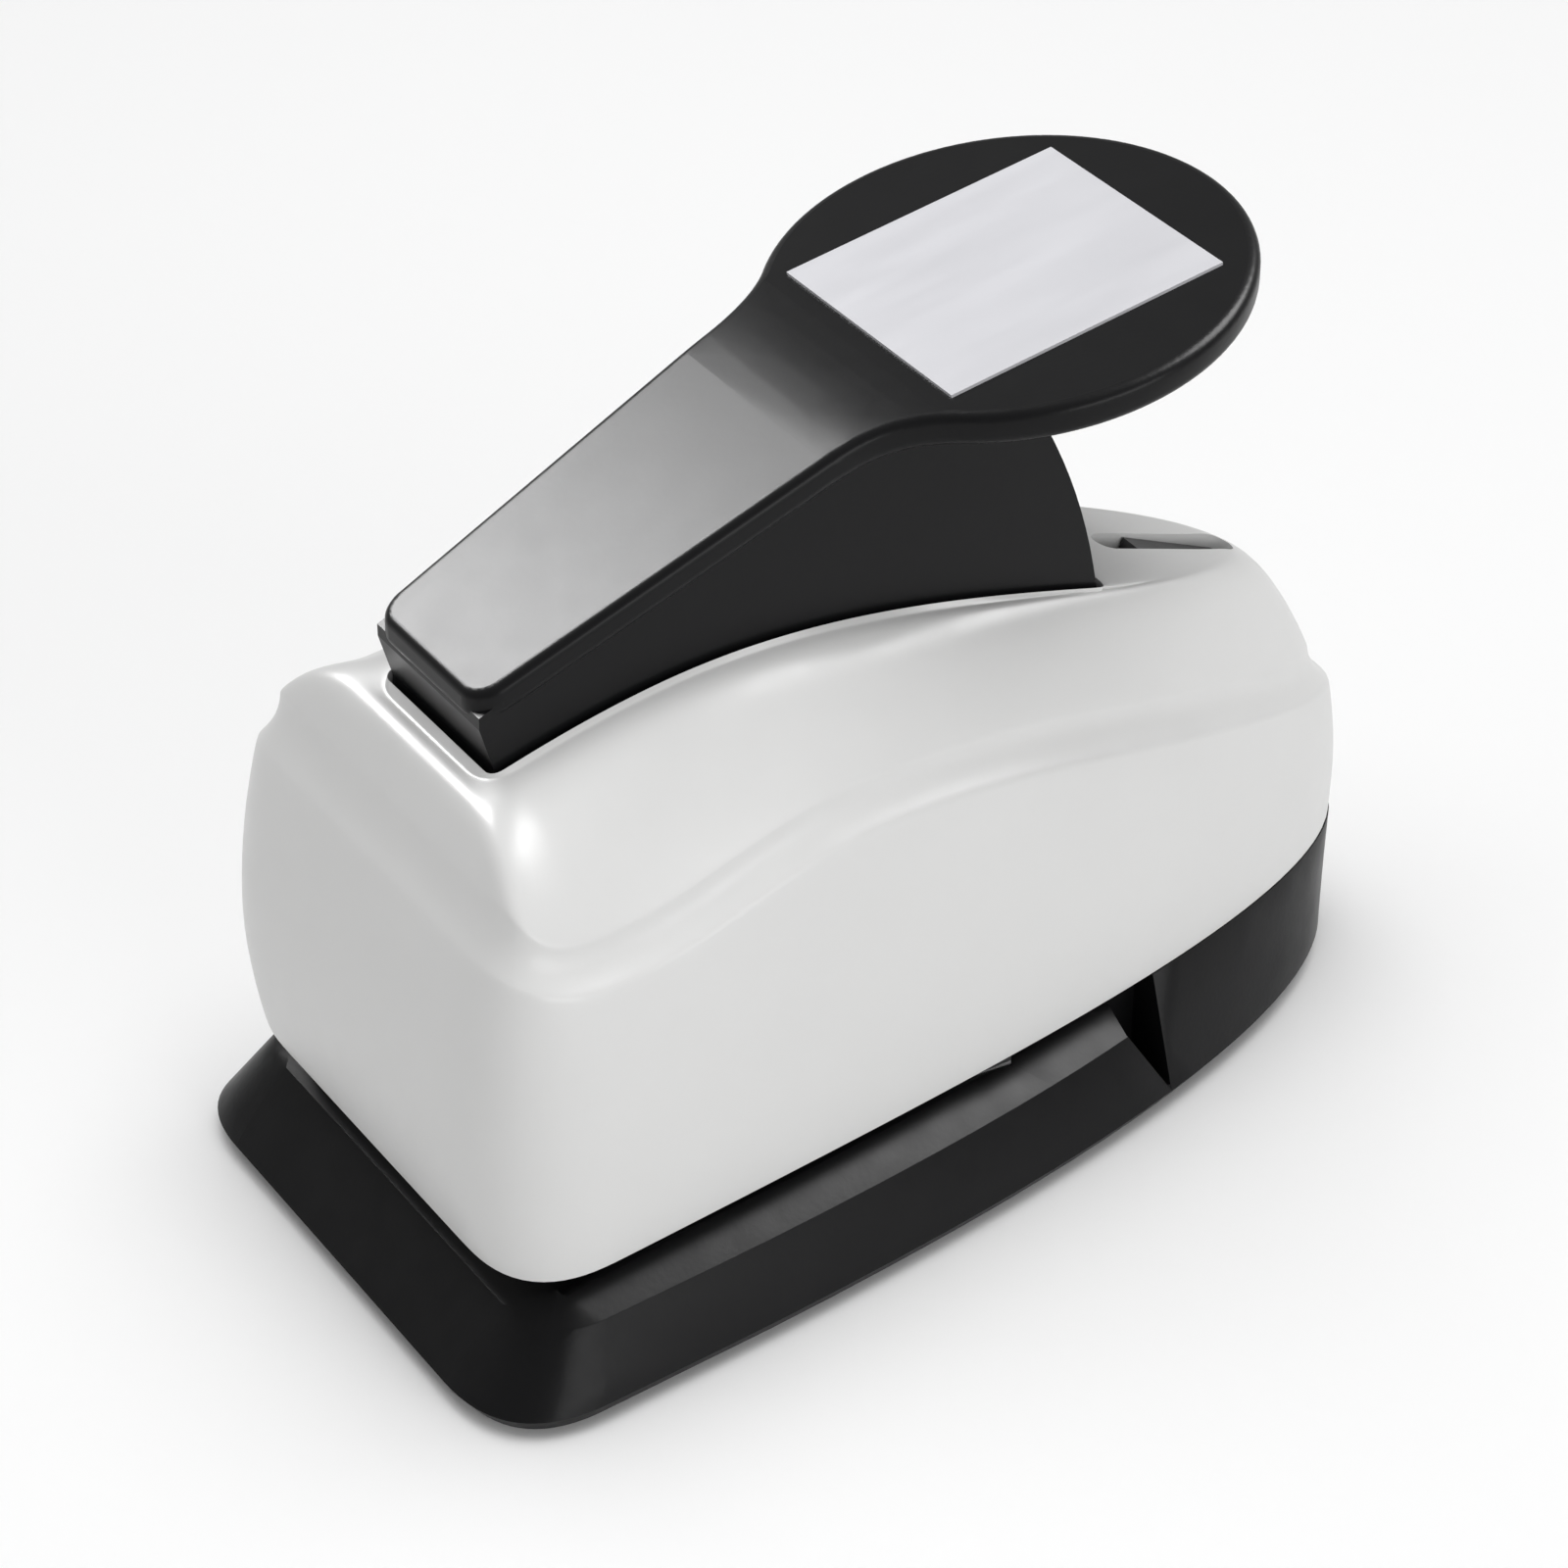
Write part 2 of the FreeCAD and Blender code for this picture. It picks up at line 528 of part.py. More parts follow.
def build_pivot():
    reach = "({bracket_half} + {pin_overhang})"
    node("pivot_pin", crosswise("pivot_rod", "{pin_radius}", f"2 * {reach}", "{pivot_y}", "{pivot_z}",
                                f"-{reach}"))
    clips = []
    washers = []
    starts = (("left", "-{bracket_half} - {clip_thick} - 0.1", "-{bracket_half} + {bracket_sheet} + 0.1"),
              ("right", "{bracket_half} + 0.1", "{skirt_half} + 0.1"))
    for side, clip_x, washer_x in starts:
        ring = crosswise(f"clip_ring_{side}", "{clip_radius}", "{clip_thick}", "{pivot_y}", "{pivot_z}",
                         clip_x)
        hole = crosswise(f"clip_hole_{side}", "{pin_radius}", "4", "{pivot_y}", "{pivot_z}",
                         f"{clip_x} - 1")
        mouth = box(f"clip_mouth_{side}", "4", "2.6", "6", f"{clip_x} - 1", "{pivot_y} - 1.3", "{pivot_z}")
        clips.append(cut(f"clip_{side}", ring, hole, mouth))
        gap = "{bracket_half} - {bracket_sheet} - {skirt_half} - 0.2"
        ring = crosswise(f"washer_ring_{side}", "{clip_radius}", gap, "{pivot_y}", "{pivot_z}", washer_x)
        hole = crosswise(f"washer_hole_{side}", "{pin_radius} + {running_slack}", "6", "{pivot_y}",
                         "{pivot_z}", f"{washer_x} - 1")
        washers.append(cut(f"washer_{side}", ring, hole))
    node("pivot_clips", joined("pivot_clips_pair", clips))
    node("pivot_washers", joined("pivot_washers_pair", washers))


# ---------------------------------------------------------------- lever

def strip_height(y):
    return size["lever_front_z"] + math.tan(math.radians(size["strip_angle"])) * (y - size["lever_front"])


def disc_height(y):
    return size["disc_z"] + math.tan(math.radians(size["disc_angle"])) * (y - size["disc_y"])


def bend_y():
    steep = math.tan(math.radians(size["strip_angle"]))
    gentle = math.tan(math.radians(size["disc_angle"]))
    return (size["disc_z"] - gentle * size["disc_y"] - size["lever_front_z"]
            + steep * size["lever_front"]) / (steep - gentle)


def lever_plan():
    """Plan outline of the lever's top: a tapering strip that flares into the round thumb disc."""
    front = size["lever_front"]
    half = size["strip_half"]
    centre = Vector(0, size["disc_y"], 0)
    radius = size["disc_radius"]
    blend = size["neck_blend"]
    taper = (size["neck_half"] - half) / (size["disc_y"] - radius - 3 - front)
    slant = math.hypot(1, taper)
    offset = half + blend * slant - taper * front
    a = 1 + taper ** 2
    b = 2 * (offset * taper - centre.y)
    c = offset ** 2 + centre.y ** 2 - (radius + blend) ** 2
    y = (-b - math.sqrt(b * b - 4 * a * c)) / (2 * a)
    pole = Vector(offset + taper * y, y, 0)
    on_strip = pole - Vector(1, -taper, 0) * (blend / slant)
    on_disc = centre + (pole - centre) * (radius / (radius + blend))
    middle = pole + ((on_strip - pole) + (on_disc - pole)).normalize() * blend
    corner = 2.6
    toe = Vector(half - corner, front, 0)
    side = Vector(half + taper * corner, front + corner, 0)
    rounded = Vector(half - corner * 0.29, front + corner * 0.29, 0)

    def mirrored(p):
        return Vector(-p.x, p.y, p.z)

    edges = [
        Part.makeLine(mirrored(toe), toe),
        Part.Arc(toe, rounded, side).toShape(),
        Part.makeLine(side, on_strip),
        Part.Arc(on_strip, middle, on_disc).toShape(),
        Part.Arc(on_disc, Vector(0, centre.y + radius, 0), mirrored(on_disc)).toShape(),
        Part.Arc(mirrored(on_disc), mirrored(middle), mirrored(on_strip)).toShape(),
        Part.makeLine(mirrored(on_strip), mirrored(side)),
        Part.Arc(mirrored(side), mirrored(rounded), mirrored(toe)).toShape(),
    ]
    return Part.Wire(edges)


def lever_side_wire(drop, grow=12.0):
    """Side view of the lever's bent plate: its top line and its underside, drop lower."""
    bend = bend_y()
    ease = 5.0
    start = size["lever_front"] - grow
    end = size["disc_y"] + size["disc_radius"] + grow

    def line(lower):
        a = Vector(0, start, strip_height(start) - lower)
        b = Vector(0, bend - ease, strip_height(bend - ease) - lower)
        knee = Vector(0, bend, strip_height(bend) - lower)
        c = Vector(0, bend + ease, disc_height(bend + ease) - lower)
        d = Vector(0, end, disc_height(end) - lower)
        curve = Part.BezierCurve()
        curve.setPoles([b, knee, c])
        return a, d, [Part.makeLine(a, b), curve.toShape(), Part.makeLine(c, d)]

    top_a, top_d, top = line(0.0)
    low_a, low_d, low = line(drop)
    ends = [Part.makeLine(top_a, low_a), Part.makeLine(top_d, low_d)]
    return Part.Wire(Part.__sortEdges__(top + low + ends))


def lever_plate():
    column = Part.Face(lever_plan()).extrude(Vector(0, 0, 120))
    band = Part.Face(lever_side_wire(size["plate_thick"])).extrude(Vector(80, 0, 0))
    band.translate(Vector(-40, 0, 0))
    plate = column.common(band)
    rim = []
    for edge in plate.Edges:
        middle = (edge.FirstParameter + edge.LastParameter) / 2
        spot = edge.valueAt(middle)
        along = edge.tangentAt(middle)
        bend_line = abs(along.x) > 0.99 and size["lever_front"] + 1 < spot.y < size["disc_y"]
        if abs(along.z) < 0.9 and not bend_line:
            rim.append(edge)
    return plate.makeFillet(size["plate_round"], rim)


def side_prism(profile, half):
    ring = [Vector(-half, y, z) for y, z in profile]
    return Part.Face(Part.makePolygon(ring + ring[:1])).extrude(Vector(2 * half, 0, 0))


def drum(radius, half):
    start = Vector(-half, size["pivot_y"], size["pivot_z"])
    return Part.makeCylinder(radius, 2 * half, start, Vector(1, 0, 0))


def under_plate(y, drop):
    return min(strip_height(y), disc_height(y)) - drop


def lever_skirt():
    front = size["lever_front"]
    half = size["skirt_half"]
    wall = size["skirt_wall"]
    bottom = size["skirt_bottom"]
    thick = size["plate_thick"]
    bend = bend_y()
    back = size["pivot_y"] + size["skirt_reach"]
    profile = [(front + 0.9, size["pivot_z"]), (front + 1.5, 56.0), (front + 0.25, 60.4),
               (front + 0.25, under_plate(front, thick) + 1.6), (bend, under_plate(bend, thick) + 1.0),
               (back, under_plate(back, thick) + 1.0), (back, bottom), (size["pivot_y"] + 6, bottom),
               (size["pivot_y"] + 3, size["pivot_z"])]
    solid = side_prism(profile, half).common(drum(size["skirt_reach"], half))
    solid = solid.fuse(drum(size["ear_radius"], half))
    pocket_profile = [(front + 0.9 + wall, 30), (front + 1.5 + wall, 56.0), (front + 0.25 + wall, 60.4),
                      (front + 0.25 + wall, under_plate(front + 2, thick)), (bend, under_plate(bend, thick)),
                      (back, under_plate(back, thick)), (back, 30)]
    hollow = side_prism(pocket_profile, half - wall).common(drum(size["skirt_reach"] - wall, half - wall))
    clear_ears = Part.makeBox(2 * (half - wall), 20, 14,
                              Vector(-(half - wall), size["pivot_y"] - 10, size["pivot_z"] - 8))
    return solid.cut(hollow).cut(clear_ears.common(side_prism(
        [(front - 3, 30), (front + 0.9 + wall, 30), (front + 0.9 + wall, 48), (front - 3, 48)], half)))


def build_lever():
    blank = feature("lever_blank", lever_plate().fuse(lever_skirt()).removeSplitter())
    bore = crosswise("lever_bore", "{pin_radius} + {running_slack}", "4 * {skirt_half}", "{pivot_y}",
                     "{pivot_z}", "-2 * {skirt_half}")
    push = crosswise("lever_push_bore", "{push_radius}", "4 * {skirt_half}", "{plunger_y}",
                     "{cap_top} + {push_gap} + {push_radius}", "-2 * {skirt_half}")
    notch = box("lever_lock_notch", "5", "6", "4.2", "-2.5", "16.5", "50.4")
    node("lever", cut("lever_cut", blank, bore, push, notch))
    node("push_pin", crosswise("push_rod", "{push_radius}", "2 * {skirt_half}", "{plunger_y}",
                               "{cap_top} + {push_gap} + {push_radius}", "-{skirt_half}"))

    plate = Part.makeBox(size["label_width"], size["label_back"] - size["label_front"], size["label_thick"],
                         Vector(-size["label_width"] / 2, size["label_front"], 0))
    label = feature("label_sheet", plate)
    label.Placement = Placement(Vector(0, size["disc_y"], size["disc_z"]),
                                Rotation(Vector(1, 0, 0), size["disc_angle"]))
    node("label_plate", label)


# ---------------------------------------------------------------- housing

def sloping_run(run):
    """Distance along a slope that starts level and turns gently into a straight fall."""
    return math.hypot(run, size["slope_round"]) - size["slope_round"]


def crease_height(y):
    """Height of the lower edge of the housing's bevel: a crest, a dip in front of it, a falling tail."""
    crest = size["crest_y"]
    if y > crest:
        return size["crest_z"] - size["crease_fall"] * sloping_run(y - crest)
    fall = min((crest - y) / (crest - size["dip_y"]), 1.0)
    lift = size["front_lift"] * (max(size["dip_y"] - y, 0.0) / (size["dip_y"] - size["shell_front"])) ** 2
    return size["crest_z"] - size["dip_depth"] * math.sin(math.pi / 2 * fall) ** 2 + lift


def roof_height(y):
    """Height of the roof beside the lever: highest over the cutter, falling away both ways."""
    run = y - size["roof_crest_y"]
    rate = size["roof_fall_back"] if run > 0 else size["roof_fall_front"]
    return size["roof_crest_z"] - rate * sloping_run(run)


SIDE_STATIONS = [0, 0.045, 0.09, 0.135, 0.18, 0.225, 0.27, 0.315, 0.36, 0.395, 0.42, 0.435, 0.45, 0.465,
                 0.4825]
SIDE_STATIONS += [0.5] + [1 - share for share in reversed(SIDE_STATIONS[1:])]
CORNER_STEPS = 5
FRONT_STEPS = 4


def loop_points(wire):
    """Points round an outline from the middle of its front, as (x, y, nx, ny) with outward normals."""
    front, right, side, left = wire.Edges
    halves = [0.5 * i / FRONT_STEPS for i in range(FRONT_STEPS)]
    corners = [i / CORNER_STEPS for i in range(CORNER_STEPS)]
    runs = [(front, [0.5 + share for share in halves]), (right, corners), (side, SIDE_STATIONS),
            (left, corners), (front, halves)]
    spots = []
    for edge, shares in runs:
        for share in shares:
            at = edge.getParameterByLength(edge.Length * share)
            spot = edge.valueAt(at)
            ahead = edge.tangentAt(at)
            spots.append((spot.x, spot.y, ahead.y, -ahead.x))
    return spots


def mouth_points():
    """The lever's opening with the same count and order of points: straight sides, small round corners."""
    half = size["skirt_half"] + size["mouth_gap"]
    front = size["mouth_front"]
    reach = size["skirt_reach"] + size["mouth_gap"]
    back = size["pivot_y"] + math.sqrt(reach ** 2 - (size["mouth_back_z"] - size["pivot_z"]) ** 2)
    corner = size["mouth_corner"]
    right = [(i * (half - corner) / FRONT_STEPS, front) for i in range(FRONT_STEPS)]
    for i in range(CORNER_STEPS):
        turn = math.pi / 2 * i / CORNER_STEPS
        right.append((half - corner + corner * math.sin(turn), front + corner - corner * math.cos(turn)))
    for share in [share for share in SIDE_STATIONS if share < 0.5]:
        if share <= 0.42:
            right.append((half, front + corner + (back - front - 2 * corner) * share / 0.42))
        elif share <= 0.45:
            turn = math.pi / 2 * (share - 0.42) / 0.03
            right.append((half - corner + corner * math.cos(turn), back - corner + corner * math.sin(turn)))
        else:
            right.append(((half - corner) * (0.5 - share) / 0.05, back))
    return right + [(0, back)] + [(-x, y) for x, y in reversed(right[1:])]


def roof_half(y):
    """Half-width of the roof's flat top: parallel beside the lever, then closing to a round end."""
    return half_width(y, size["roof_front"], size["roof_tip"], size["roof_half"], size["roof_swell"],
                      size["roof_tail"])


def shell_loops(thin):
    """Level loops of the housing's outer skin from its foot to the lever's opening.

    With thin above zero they are the loops of the inner skin.
    """
    plan = loop_points(shell_level(0, 0))
    rim = loop_points(outline(roof_half, size["roof_front"], size["roof_tip"], 0, size["roof_corner"], 0))
    mouth = mouth_points()
    foot = size["shell_z"]

    def offset(spot, inset, z):
        x, y, nx, ny = spot
        return Vector(x - nx * inset, y - ny * inset, z)

    def wall(i, share):
        barrel = size["wall_barrel"] * (1 - (max(plan[i][1], 0) / size["shell_tip"]) ** 2)
        swell = barrel * (1 - (1 - min(share / 0.45, 1)) ** 2)
        lean = (size["wall_lean"] + barrel) * (max(share - 0.35, 0) / 0.65) ** 2
        top = crease_height(plan[i][1]) - thin * 0.6
        return offset(plan[i], thin - swell + lean, foot + (top - foot) * share)

    def bevel(i, share):
        cove = size["bevel_cove"] * math.sin(math.pi * share)
        inset = thin + size["wall_lean"] + size["bevel_in"] * share + cove
        rise = size["bevel_rise"] + size["front_rise"] * max(-plan[i][3], 0) ** 2
        return offset(plan[i], inset, crease_height(plan[i][1]) - thin * 0.6 + rise * share)

    def crown(i, share):
        low = bevel(i, 1)
        high = Vector(rim[i][0], rim[i][1], roof_height(rim[i][1]) - thin)
        rise = 1 - (1 - share) ** size["crown_power"]
        return Vector(low.x + (high.x - low.x) * share, low.y + (high.y - low.y) * share,
                      low.z + (high.z - low.z) * rise)

    def roof(i, share):
        x = rim[i][0] + (mouth[i][0] - rim[i][0]) * share
        y = rim[i][1] + (mouth[i][1] - rim[i][1]) * share
        return Vector(x, y, roof_height(y) - thin + size["roof_crown"] * share)

    if thin:
        levels = [(wall, 0), (wall, 0.2), (wall, 0.45), (wall, 0.75), (wall, 1), (bevel, 1), (crown, 0.3),
                  (crown, 0.65), (crown, 1), (roof, 0.5), (roof, 1)]
    else:
        levels = [(wall, 0), (wall, 0.12), (wall, 0.28), (wall, 0.45), (wall, 0.65), (wall, 0.85),
                  (wall, 0.97), (bevel, 0.05), (bevel, 0.5), (bevel, 0.95), (crown, 0.06), (crown, 0.25),
                  (crown, 0.5), (crown, 0.75), (crown, 0.94), (roof, 0.05), (roof, 0.5), (roof, 1)]
    return [[shape(i, share) for i in range(len(plan))] for shape, share in levels]


def shell_solid():
    """The housing as one closed skin: up the outside, over the edge of the opening and down the inside."""
    loops = shell_loops(0.0) + list(reversed(shell_loops(size["shell_wall"])))
    base = loops[0]
    run = [0.0]
    for one, other in zip(base, base[1:] + base[:1]):
        run.append(run[-1] + one.distanceToPoint(other))
    spacing = [length / run[-1] for length in run]
    wires = [closed_curve(loop, spacing) for loop in loops]
    skin = Part.makeLoft(wires, False, True, True)
    return Part.Solid(Part.Shell(skin.Faces))


def closed_curve(points, spacing):
    curve = Part.BSplineCurve()
    curve.interpolate(Points=points, PeriodicFlag=True, Parameters=spacing)
    return Part.Wire([curve.toShape()])


def lock_frame():
    return Placement(Vector(0, size["lock_y"], roof_height(size["lock_y"])),
                     Rotation(Vector(1, 0, 0), -size["lock_angle"]))


def tilted(name, length, width, height, x, y, z):
    """A box set in the sloping frame of the lock."""
    thing = doc.addObject("Part::Box", name)
    bind(thing, Length=length, Width=width, Height=height)
    frame = lock_frame()
    thing.Placement = Placement(frame.multVec(Vector(x, y, z)), frame.Rotation)
    return thing


def tilted_rod(name, radius, height, x, y, z):
    thing = doc.addObject("Part::Cylinder", name)
    bind(thing, Radius=radius, Height=height)
    frame = lock_frame()
    thing.Placement = Placement(frame.multVec(Vector(x, y, z)), frame.Rotation)
    return thing


LOCK_SIDES = (-1, 1)


def lock_rods(name, radius, height, low):
    """The same rod on both sides of the lock, set in its sloping frame."""
    return [tilted_rod(f"{name}_{i}", radius, height, side * size["lock_screw_x"], size["lock_screw_y"], low)
            for i, side in enumerate(LOCK_SIDES)]


def build_housing():
    skin = feature("shell_skin", shell_solid())
    bosses = rods("shell_bosses", SHELL_SCREWS, "{boss_radius}", "{shell_z}", "{shell_z} + {boss_tall}")
    under = size["lock_plate_z"] + size["lock_plate_thick"]
    posts = joined("lock_posts", lock_rods("lock_post", "1.5", "5.2", under))
    whole = joined("shell_joined", [skin, bosses, posts])
    slot = tilted("lock_slot", "2 * {slot_half}", "{slot_back} - {slot_front}", "8", -size["slot_half"],
                  size["slot_front"], -4.0)
    pilots = rods("shell_pilots", SHELL_SCREWS, "{screw_radius}", "{shell_z} - 1",
                  "{shell_z} + {boss_tall} - 1")
    lock_pilots = joined("lock_pilots", lock_rods("lock_pilot", "{lock_screw}", "3.5", under - 0.1))
    node("housing", cut("housing_cut", whole, slot, pilots, lock_pilots))
    screws("housing_screws", SHELL_SCREWS, "{screw_radius}", "{screw_head}", "{floor_z}", "{screw_head_tall}",
           "({shell_z} + 10.5)")


def build_lock():
    front = size["lock_front"]
    under = size["lock_under"]
    leg_front = size["lock_leg_front"]
    stem = tilted("lock_stem", "2 * {lock_half}", "{lock_back} - {lock_front}", "{lock_top} - {lock_under}",
                  -size["lock_half"], front, under)
    flange = tilted("lock_flange", "2 * {lock_flange}", "{lock_back} - {lock_front} + 1.6", "1.3",
                    -size["lock_flange"], front - 1.0, under - 0.7)
    leg = tilted("lock_leg", "2 * {lock_leg}", "3", "7.8", -size["lock_leg"], leg_front, under - 8.0)
    toe = tilted("lock_toe", "2 * {lock_leg}", "4.6", "2", -size["lock_leg"], leg_front - 1.6, under - 8.2)
    node("lock_slider", joined("lock_joined", [stem, flange, leg, toe]))

    low = size["lock_plate_z"]
    plate = tilted("guide_plate", "2 * {lock_plate_half}", "7", "{lock_plate_thick}", -size["lock_plate_half"],
                   -2.4, low)
    holes = joined("guide_plate_holes", lock_rods("guide_plate_hole", "{lock_screw} + {screw_slack}", "5",
                                                  low - 1.7))
    node("lock_guide", cut("guide_plate_cut", plate, holes))
    shanks = lock_rods("lock_shank", "{lock_screw}", "4.3", low)
    heads = lock_rods("lock_head", "{lock_screw_head}", "1", low - 1.0)
    made = [joined(f"lock_screw_{i}", list(pair)) for i, pair in enumerate(zip(shanks, heads))]
    node("lock_screws", joined("lock_screws_pair", made))


# ---------------------------------------------------------------- build, check and write

def check_all():
    doc.recompute()
    broken = [thing.Name for thing in doc.Objects
              if {"Invalid", "Error"} & set(thing.State) and thing is not sheet]
    if broken:
        raise RuntimeError("failed objects: " + ", ".join(broken))
    for name, thing in nodes.items():
        shape = thing.Shape
        if shape.isNull() or not shape.isValid() or not shape.Solids:
            raise RuntimeError(name + " has no valid solid")


def write_all():
    os.makedirs("parts", exist_ok=True)
    for name, thing in nodes.items():
        thing.Shape.exportStep(f"parts/{name}.step")
        box_of = thing.Shape.BoundBox
        print(f"{name}: {len(thing.Shape.Solids)} solid(s), {thing.Shape.Volume:.0f} mm3, "
              f"x {box_of.XMin:.1f}..{box_of.XMax:.1f} y {box_of.YMin:.1f}..{box_of.YMax:.1f} "
              f"z {box_of.ZMin:.1f}..{box_of.ZMax:.1f}")


build_base()
build_cover()
build_cutting_set()
build_cutter()
build_spring()
build_bracket()
build_pivot()
build_lever()
build_housing()
build_lock()
check_all()
write_all()
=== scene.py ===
import math
import bmesh
import bpy
from mathutils import Matrix, Vector


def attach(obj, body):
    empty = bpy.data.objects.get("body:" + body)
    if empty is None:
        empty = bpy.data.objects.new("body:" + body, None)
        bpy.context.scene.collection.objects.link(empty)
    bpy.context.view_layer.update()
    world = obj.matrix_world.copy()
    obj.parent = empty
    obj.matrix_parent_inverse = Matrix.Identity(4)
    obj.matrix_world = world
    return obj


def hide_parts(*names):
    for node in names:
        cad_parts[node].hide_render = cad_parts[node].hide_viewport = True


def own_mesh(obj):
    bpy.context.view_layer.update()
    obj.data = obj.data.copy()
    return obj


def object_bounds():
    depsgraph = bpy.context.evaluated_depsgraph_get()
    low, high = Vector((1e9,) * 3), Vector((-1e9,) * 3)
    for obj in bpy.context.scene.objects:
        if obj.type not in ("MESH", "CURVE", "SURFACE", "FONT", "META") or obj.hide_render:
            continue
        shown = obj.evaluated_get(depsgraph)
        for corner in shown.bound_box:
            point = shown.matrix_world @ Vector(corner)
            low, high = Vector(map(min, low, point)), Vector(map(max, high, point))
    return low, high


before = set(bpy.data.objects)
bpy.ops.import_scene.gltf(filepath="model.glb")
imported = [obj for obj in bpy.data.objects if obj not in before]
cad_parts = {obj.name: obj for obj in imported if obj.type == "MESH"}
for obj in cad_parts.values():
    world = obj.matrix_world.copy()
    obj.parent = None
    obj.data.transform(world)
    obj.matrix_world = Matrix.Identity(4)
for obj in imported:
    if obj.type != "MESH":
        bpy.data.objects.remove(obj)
cad_low, cad_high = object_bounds()

MM = 0.001

# ---------------------------------------------------------------- sizes of the housing, in millimetres

SHELL_FRONT = -51.2
SHELL_TIP = 55.5
SHELL_HALF = 26.6
SHELL_SWELL = 2.1
SHELL_TAIL = 6.0
SHELL_Z = 13.35
SHELL_WALL = 2.2
SHELL_CORNER = 9.5
WALL_LEAN = 0.9
WALL_BARREL = 1.6
BARREL_SHARE = 0.45
LEAN_FROM = 0.35
CEILING_THIN = 0.6
BEVEL_IN = 2.3
BEVEL_RISE = 3.7
BEVEL_COVE = 0.7
FRONT_RISE = 1.5
CREST_Y = -14.0
CREST_Z = 45.9
DIP_Y = -38.0
DIP_DEPTH = 3.6
FRONT_LIFT = 2.6
ROOF_FRONT = -43.8
ROOF_TIP = 40.5
ROOF_HALF = 10.0
ROOF_SWELL = 3.3
ROOF_TAIL = 10.0
ROOF_CORNER = 4.0
ROOF_CREST_Y = -18.0
ROOF_CREST_Z = 59.4
ROOF_CROWN = 0.5
SLOPE_ROUND = 30
CREASE_FALL = 0.40
ROOF_FALL_BACK = 0.37
ROOF_FALL_FRONT = 0.45
CROWN_POWER = 1.75
CROWN_POWER_FRONT = 3.0
MOUTH_HALF = 9.3
MOUTH_FRONT = -42.9
MOUTH_BACK = 21.2
MOUTH_CORNER = 1.0
LOCK_Y = 35.4
LOCK_ANGLE = math.radians(24.0)
SLOT_HALF = 1.6
SLOT_FRONT = -9.3
SLOT_BACK = 7.6
SLOT_ARC_STEPS = 12
SLOT_REACH = 4.0
BOSS_PLACES = ((8.0, 40.0), (12.4, 28.5))
BOSS_RADIUS = 3.1
BOSS_TOP = 25.35
PILOT_RADIUS = 1.5

SPRING_Y = -11.6
SPRING_LOW = 25.6
SPRING_HIGH = 39.5
SPRING_RADIUS = 12.5
SPRING_WIRE = 0.7
SPRING_TURNS = 4
SPRING_STEPS = 48
WIRE_STEPS = 14

FRONT_STEPS = 6
CORNER_STEPS = 8
SIDE_STEPS = 36
MOUTH_SIDE_STEPS = 28
MOUTH_TURN_STEPS = 3


def half_width(y, front, tip, half, swell, tail):
    """Half of a body's width at y: nearly parallel at the front, a round tip at the back."""
    t = min(max((y - front) / (tip - front), 0.0), 1.0)
    return math.sqrt(1 - t) * (half + swell * t + tail * t * t)


def shell_half(y):
    return half_width(y, SHELL_FRONT, SHELL_TIP, SHELL_HALF, SHELL_SWELL, SHELL_TAIL)


def roof_half(y):
    return half_width(y, ROOF_FRONT, ROOF_TIP, ROOF_HALF, ROOF_SWELL, ROOF_TAIL)


def sloping_run(run):
    """Distance along a slope that starts level and turns gently into a straight fall."""
    return math.hypot(run, SLOPE_ROUND) - SLOPE_ROUND


def crease_height(y):
    """Height of the lower edge of the housing's bevel."""
    if y > CREST_Y:
        return CREST_Z - CREASE_FALL * sloping_run(y - CREST_Y)
    fall = min((CREST_Y - y) / (CREST_Y - DIP_Y), 1.0)
    lift = FRONT_LIFT * (max(DIP_Y - y, 0.0) / (DIP_Y - SHELL_FRONT)) ** 2
    return CREST_Z - DIP_DEPTH * math.sin(math.pi / 2 * fall) ** 2 + lift


def roof_height(y):
    """Height of the roof beside the lever: highest over the cutter, falling away both ways."""
    run = y - ROOF_CREST_Y
    rate = ROOF_FALL_BACK if run > 0 else ROOF_FALL_FRONT
    return ROOF_CREST_Z - rate * sloping_run(run)


# ---------------------------------------------------------------- outlines

def along(points, shares):
    """Points at shares of a polyline's length, each with its outward normal for a counter-clockwise run."""
    run = [0.0]
    for a, b in zip(points, points[1:]):
        run.append(run[-1] + math.dist(a, b))
    spots = []
    k = 0
    for share in shares:
        goal = share * run[-1]
        while k < len(points) - 2 and run[k + 1] < goal:
            k += 1
        a, b = points[k], points[k + 1]
        span = run[k + 1] - run[k]
        part = (goal - run[k]) / span
        dx, dy = (b[0] - a[0]) / span, (b[1] - a[1]) / span
        spots.append((a[0] + (b[0] - a[0]) * part, a[1] + (b[1] - a[1]) * part, dy, -dx))
    return spots


